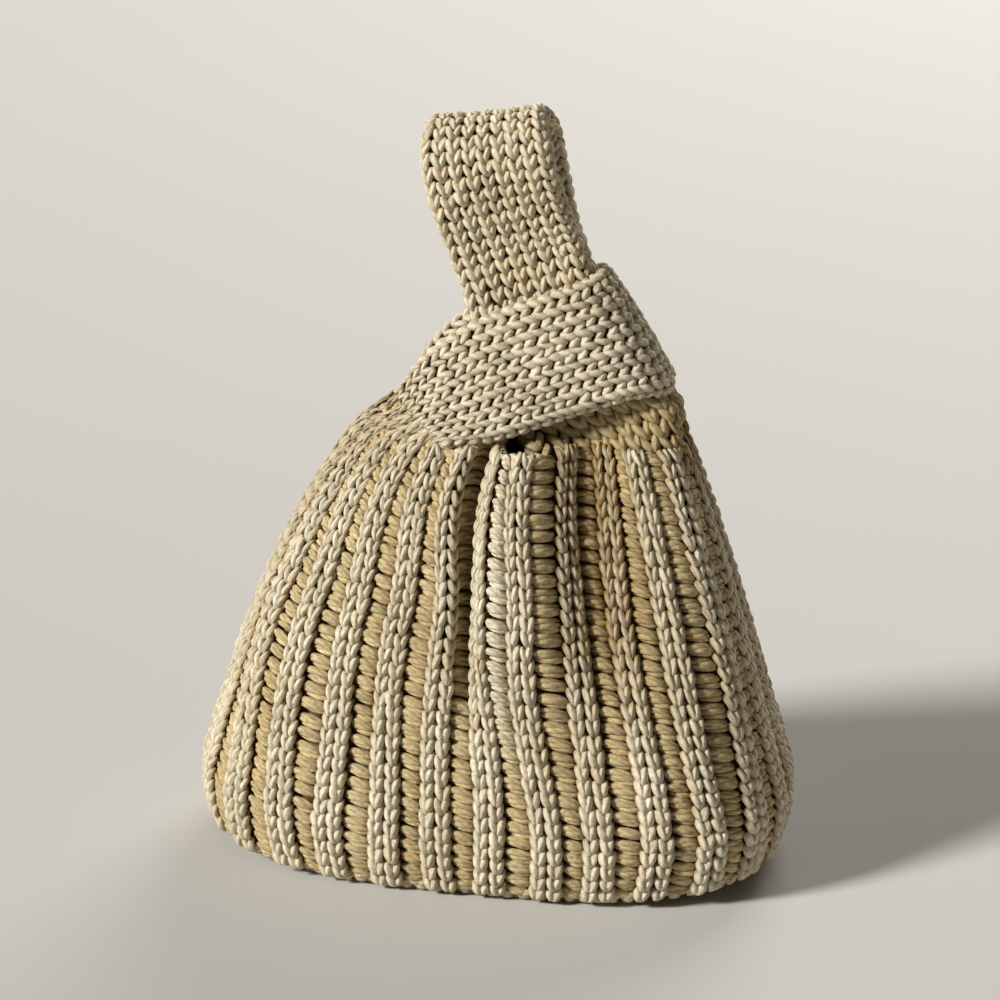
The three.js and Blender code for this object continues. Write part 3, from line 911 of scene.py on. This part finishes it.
def wristLine(side):
    # up the neck, flaring to the crown, a half ellipse over the top; all leans sideways on a wide circle
    flareTo, foldAt, radius = strap["flareTo"], knot["belowFold"], strap["bendRadius"]
    rise = np.linspace(strap["neckFrom"], flareTo, strap["neckSteps"])
    out = mix(strap["neck"], strap["flareHalf"], ramp(rise, foldAt, flareTo))
    turn = np.radians(np.linspace(0, 180, strap["overSteps"])[1:-1])
    d = np.concatenate([rise, flareTo + strap["crownRise"] * np.sin(turn), rise[::-1]])
    y = np.concatenate([-out, -strap["flareHalf"] * np.cos(turn), out[::-1]])
    toTop = (d - strap["cornerFrom"]) / (flareTo + strap["crownRise"] - strap["cornerFrom"])
    v = strap["shift"] + side * (strap["width"] / 2 - strap["corner"] * np.clip(toTop, 0, 1) ** 2)
    lean = np.maximum(d - foldAt, 0) / radius
    leanV = np.where(d > foldAt, radius - (radius - v) * np.cos(lean), v)
    leanD = np.where(d > foldAt, foldAt + (radius - v) * np.sin(lean), d)
    return knotPoint(leanV, y, leanD)


def strapEdge(root, stations, side):
    # from the root through the stations and over the wrist loop, then the same behind
    front = np.concatenate([root, knotLine(stations)])
    return np.concatenate([front, wristLine(side)[::strap["skip"]], mirrored(front)])


def rightRoot(u):
    # two rows of the body just under the rim, taken from its inner side
    u, w = np.broadcast_arrays(u, rimRow + np.array(strap["rootRows"]))
    inset = mix(*strap["rootInset"], ramp(u, strap["insetFrom"], rightOuter))
    return bodySurface(u, w) - ribNormal(u, w) * inset[..., None]


def makeStrap():
    outer = strapEdge(rightRoot(rightOuter), strap["outer"], 1)
    inner = strapEdge(rightRoot(rightInner), strap["inner"], -1)
    knots = runAlong((outer + inner) / 2)
    outer, inner = [throughPoints(edge, strap["steps"], knots) for edge in (outer, inner)]
    made = Ribbon(inner, outer, ([0, 1], [strap["crown"]] * 2), strap, True)
    e = np.linspace(0, 1, strap["rootSteps"])
    follow = rightRoot(mix(rightInner, rightOuter, e)[:, None])[:, 0]
    made.root = (e, follow - made.surface(e, 0), strap["rootReach"])
    return made


strapRibbon = makeStrap()
upKnot = ((strapRibbon.first + strapRibbon.second) / 2 - knotMiddle) @ knotUp
lastStrapRow = strapRibbon.rows
meetRow = np.argmax(upKnot > strap["meet"]) / len(upKnot) * lastStrapRow
print("long handle rows:", round(float(lastStrapRow), 1), "meeting at", round(float(meetRow), 1))
spans = {
    "frontNeck": ("long_handle_front_neck", strapRows["first"], meetRow),
    "wrist": ("wrist_loop", meetRow, lastStrapRow - meetRow),
    "backNeck": ("long_handle_back_neck", lastStrapRow - meetRow, lastStrapRow - strapRows["spare"]),
}


def strapTone(w):
    # painted shade: tan like the valleys at both roots, where the short handle shades them, cream above
    share = ramp(np.minimum(w, lastStrapRow - w), *strap["rootRise"])[:, None]
    return mix(strap["rootShadeTone"], strap["tone"], share)


for key, (name, low, high) in spans.items():
    firstRow = np.ceil(low - strapRows["first"]) + strapRows["first"]
    stitches = strapStitches(strapRibbon, 0.0, firstRow, high, strapTone, strapForm)
    pieces[key] = addStrands(name + "_knit", stitches, strapYarn)
    core = strapRibbon.core(strap["coreGrid"], low, high)
    pieces[key + "Core"] = addTube(name + "_core", core, wrongSidePaintedShade)
print("handles knitted")

# free edges of the mouth: a bound-off chain lying on top of the edge
rim = dict(pitch=5.4, width=6.2, lift=0.1, tone=(1.0, 0.99, 0.96), inset=1.9, follow=0.6,
           normalBelow=0.4, steps=400)


def rimPlace(a, b, h):
    # a runs across the edge in millimetres, b along the girth in ribs, h up from the edge
    outward = ribNormal(b, rimRow - rim["normalBelow"] + 0 * b)
    up = point(0, 0, 1 + 0 * b)
    out = a - rim["inset"] + rim["follow"] * ribHeight(b)
    return ribSurface(b, edgeRow + 0 * b) + outward * out[..., None] + up * (h + rim["lift"])[..., None], up, h


def evenChain(place, count, width, tone):
    # one V after another along a line, read by how many came before it
    return vLegs(place, np.zeros(count), np.arange(float(count)), np.ones(count), np.full(count, width), tone)


def rimStitches(low, high):
    fine = np.linspace(low, high, rim["steps"])
    run = runAlong(ribSurface(fine, edgeRow + 0 * fine))
    count = int(run[-1] / rim["pitch"])
    b = np.interp((np.arange(count) + 0.5) / count * run[-1], run, fine)
    perRow = np.gradient(b)

    def along(a, w, h):
        i = np.clip(np.round(w).astype(int), 0, count - 1)
        return rimPlace(a, b[i] + (w - i) * perRow[i], h)

    return evenChain(along, count, rim["width"], rim["tone"])


backSpan = body["ribs"] - rightInner, body["ribs"] - leftInner
for face, span in (("front", (leftInner, rightInner)), ("back", backSpan)):
    pieces[face + "Edge"] = addStrands(face + "_edge_chain", rimStitches(*span), seamYarn)

# the bottom: a chain round the foot, a knitted floor and the plate of cloth under it
bottom = dict(
    pitch=6.2, width=7.0, row=0.15, leastRow=0.05, sink=2.2, shadeSink=1.2,
    tone=(0.97, 0.95, 0.90), floorZ=2.7, wale=8.0, floorPitch=7.0, floorShare=0.98,
    floorHalf=(14, 9), floorInset=5.0, plateInset=3.0, plateZ=(6.0, 3.4), plateGrid=(40, 24),
)
footCount = int(ovalRun[0, -1] / bottom["pitch"])
footHalf = np.array(girthAt(np.array(body["foot"]))[:2])


def footPlace(a, w, h):
    # a runs up the wall in millimetres, w counts stitches round the foot, h outwards
    b = w / footCount * body["ribs"]
    row = bottom["row"] + a / rowPitch
    normal = ribNormal(b, np.maximum(row, bottom["leastRow"]))
    # painted shade: the foot chain's tone is set as if it lay deeper than it does, so it comes out darker
    return ribSurface(b, row) + normal * (h - bottom["sink"])[..., None], normal, h - bottom["shadeSink"]


def floorPlace(x, w, h):
    # x across and w in rows over the floor, h downwards; the floor rises with the corners
    z = bottom["floorZ"] + cornerRise(x, footHalf[0], 0.0) - h
    return point(x, w * bottom["floorPitch"], z), point(0, 0, -1 + 0 * x), h


def floorStitches():
    # a V on every wale and row inside the foot's oval
    wales, rows = bottom["floorHalf"]
    x = np.arange(-wales, wales + 1) * bottom["wale"]
    x, w = np.meshgrid(x, np.arange(-rows, rows + 1, 1.0), indexing="ij")
    y = w * bottom["floorPitch"]
    edge = ovalPoint(np.arctan2(y, x), *(footHalf - bottom["floorInset"]), body["bellyPower"])
    inside = np.hypot(x, y) < np.hypot(*edge)
    x, w = x[inside], w[inside]
    width = np.full(len(x), bottom["wale"] * bottom["floorShare"])
    return vLegs(floorPlace, x, w, np.ones(len(x)), width, bottom["tone"])


def bottomPlate():
    # a square grid pressed into a disc, stretched to the foot's oval
    a, b = np.meshgrid(*[np.linspace(-1, 1, count) for count in bottom["plateGrid"]])
    discX, discY = a * np.sqrt(1 - b**2 / 2), b * np.sqrt(1 - a**2 / 2)
    edge = ovalPoint(np.arctan2(discY, discX), *(footHalf - bottom["plateInset"]), body["bellyPower"])
    x, y = np.stack(edge) * np.hypot(discX, discY)
    faces = [point(x, y, z + cornerRise(x, footHalf[0], 0.0)) for z in bottom["plateZ"]]
    return addShell("base_wrong_side", *faces, False, wrongSidePaintedShade)


footChain = evenChain(footPlace, footCount, bottom["width"], bottom["tone"])
pieces["foot"] = addStrands("base_edge_chain", footChain, seamYarn)
pieces["floor"] = addStrands("base_floor_knit", floorStitches(), ribYarn)
pieces["plate"] = bottomPlate()

# side seams: slanted overcast stitches, one a row
seam = dict(reach=3.4, girth=1.15, endGirth=0.6, tone=(0.95, 0.92, 0.85), level=0.1, arch=1.5,
            slant=0.55, first=0.8, past=0.2)


def seamStitches(u):
    # each crosses the seam on a slant and arches over it
    w = np.arange(seam["first"], rimRow + seam["past"], 1.0)[:, None]
    u = np.full(w.shape, float(u))
    aside, arch = (strandWay - 0.5) * 2, np.sin(math.pi * strandWay)
    h = ribHeight(u) + seam["level"] + seam["arch"] * arch + body["valleyDepth"]
    radius = seam["girth"] * mix(seam["endGirth"], 1.0, arch)
    return [laid(valleyPlace, u + aside * seam["reach"] / pitchAt(u, w), w + aside * seam["slant"], h, radius,
                 toneOf(len(w), seam["tone"]))]


for side, at in (("left", 0.0), ("right", halfRibs)):
    pieces[side + "Seam"] = addStrands(side + "_seam_stitches", seamStitches(at), seamYarn)
print("edges, bottom and seams done")

# what each piece stands for: its parts are hidden; pieces at a bend only have their placing baked in, the rest
# ride on the bag
standsFor = {"band": ("short_handle_loop",), "wrist": ("long_handle_wrist_loop",), "foot": ("base_seam",),
             "floor": ("base_panel",), "leftSeam": ("left_side_seam",), "rightSeam": ("right_side_seam",)}
for face in ("front", "back"):
    standsFor[face + "Ribs"] = standsFor[face + "Valleys"] = (f"{face}_panel",)
    standsFor[face + "Leg"] = (f"short_handle_{face}_leg",)
    standsFor[face + "Neck"] = (f"long_handle_{face}_leg", f"long_handle_{face}_neck")
    standsFor[face + "Edge"] = (f"{face}_hem",)
slots = {**dict.fromkeys(("band", "frontNeck", "backNeck", "wrist"), "strap_yarn"),
         **dict.fromkeys(("frontEdge", "backEdge", "foot", "leftSeam", "rightSeam"), "seam_yarn")}
bends = {   # the bodies on either side, and the points the knit bends between
    "band": ("bag", "short_handle", knotPoint(-58, 0, 0), knotPoint(-22, 0, 0)),
    "frontNeck": ("bag", "long_handle_neck", knotPoint(0, 0, -28), knotPoint(0, 0, 12)),
    "wrist": ("long_handle_neck", "wrist_loop", knotPoint(0, 0, 45), knotPoint(0, 0, 60)),
}
bends["backNeck"] = bends["frontNeck"]
bends.update({key + "Core": value for key, value in bends.items()})
for key, piece in pieces.items():
    if key in standsFor:
        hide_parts(*standsFor[key])
    if key in bends:
        first, second, low, high = bends[key]
        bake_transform(piece)
    else:
        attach(piece, "bag")

# floor and light
stage = dict(floor=(0.58, 0.565, 0.535, 1.0), mottle=(0.5626, 0.54805, 0.51895, 1.0), roughness=0.9,
             noiseScale=3.0, noiseDetail=2.0, reach=14.0, points=9, drop=-0.0002,
             world=(1.0, 0.90, 0.71, 1.0), worldStrength=0.075, lampAim=(0, 0, 0.14))
lamps = {   # kind, place, what its size is called, size, power and colour
    "key": ("SUN", (-2.24, -1.70, 1.85), "angle", math.radians(12), 4.2, (1.0, 0.985, 0.955)),
    "fill": ("AREA", (2.2, -1.8, 0.86), "size", 1.8, 1.5, (0.95, 0.97, 1.0)),
    "back": ("AREA", (0.5, 2.4, 1.66), "size", 1.6, 46.0, (1.0, 0.98, 0.95)),
}


def addFloor():
    # a flat square of ground, its colour a very faint noise
    material, shade, place, bsdf = newMaterial("paleFloor")
    noise = shade.node("ShaderNodeTexNoise", inputs={
        "Vector": place, "Scale": stage["noiseScale"], "Detail": stage["noiseDetail"]})
    feed(bsdf, {"Base Color": mixColour(shade, "MIX", noise, stage["floor"], stage["mottle"]),
                "Roughness": stage["roughness"]})
    line = np.linspace(-1, 1, stage["points"]) * stage["reach"] * mm
    x, y = np.meshgrid(line, line)
    quads = gridQuads(stage["points"], stage["points"], False)
    floor = addMesh("studioFloor", point(x, y, stage["drop"] * mm).reshape(-1, 3), quads, material)


addFloor()
for name, (kind, at, spread, size, power, colour) in lamps.items():
    data = bpy.data.lights.new(name, kind)
    data.energy, data.color = power, colour
    setattr(data, spread, size)
    aimed(name, data, at, Vector(stage["lampAim"]) - Vector(at))
world = bpy.data.worlds.new("softSky")
world.use_nodes = True
feed(world.node_tree.nodes["Background"], {"Color": stage["world"], "Strength": stage["worldStrength"]})
bpy.context.scene.world = world
bpy.context.scene.view_settings.view_transform = "Standard"
print("floor and lamps set")
